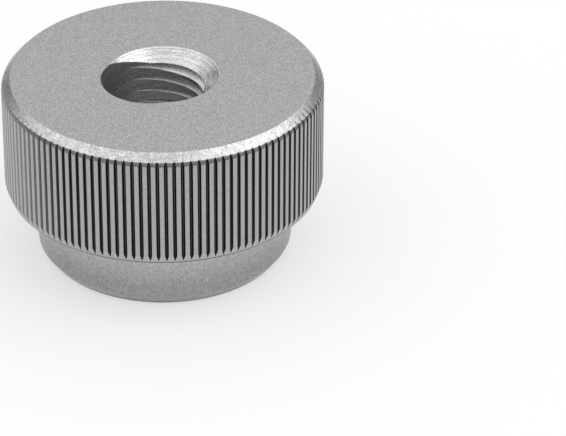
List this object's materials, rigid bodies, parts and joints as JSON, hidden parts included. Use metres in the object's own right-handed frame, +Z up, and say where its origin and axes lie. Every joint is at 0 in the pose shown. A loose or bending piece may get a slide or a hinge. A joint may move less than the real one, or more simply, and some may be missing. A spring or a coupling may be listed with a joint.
{
  "type": "knurled thumb nut",
  "caption": "Stainless steel quick-acting knurled thumb nut: a wide knurled head, a plain collar, and a countersunk M12 thread crossed by a smooth slanted hole, so that it slides along the stud when held aslant.",
  "frame": {"origin": "centre of the collar's resting face", "axes": "+Z runs up the thread's axis to the head's face, X and Y lie in the resting face. The slanted hole leans at the top to -145 degrees from +X"},
  "size_m": [0.04, 0.04, 0.024],
  "materials": {
    "stainless_steel": "fine matt turned"
  },
  "bodies": {
    "root": {"thumb_nut": "stainless_steel"}
  },
  "joints": []
}
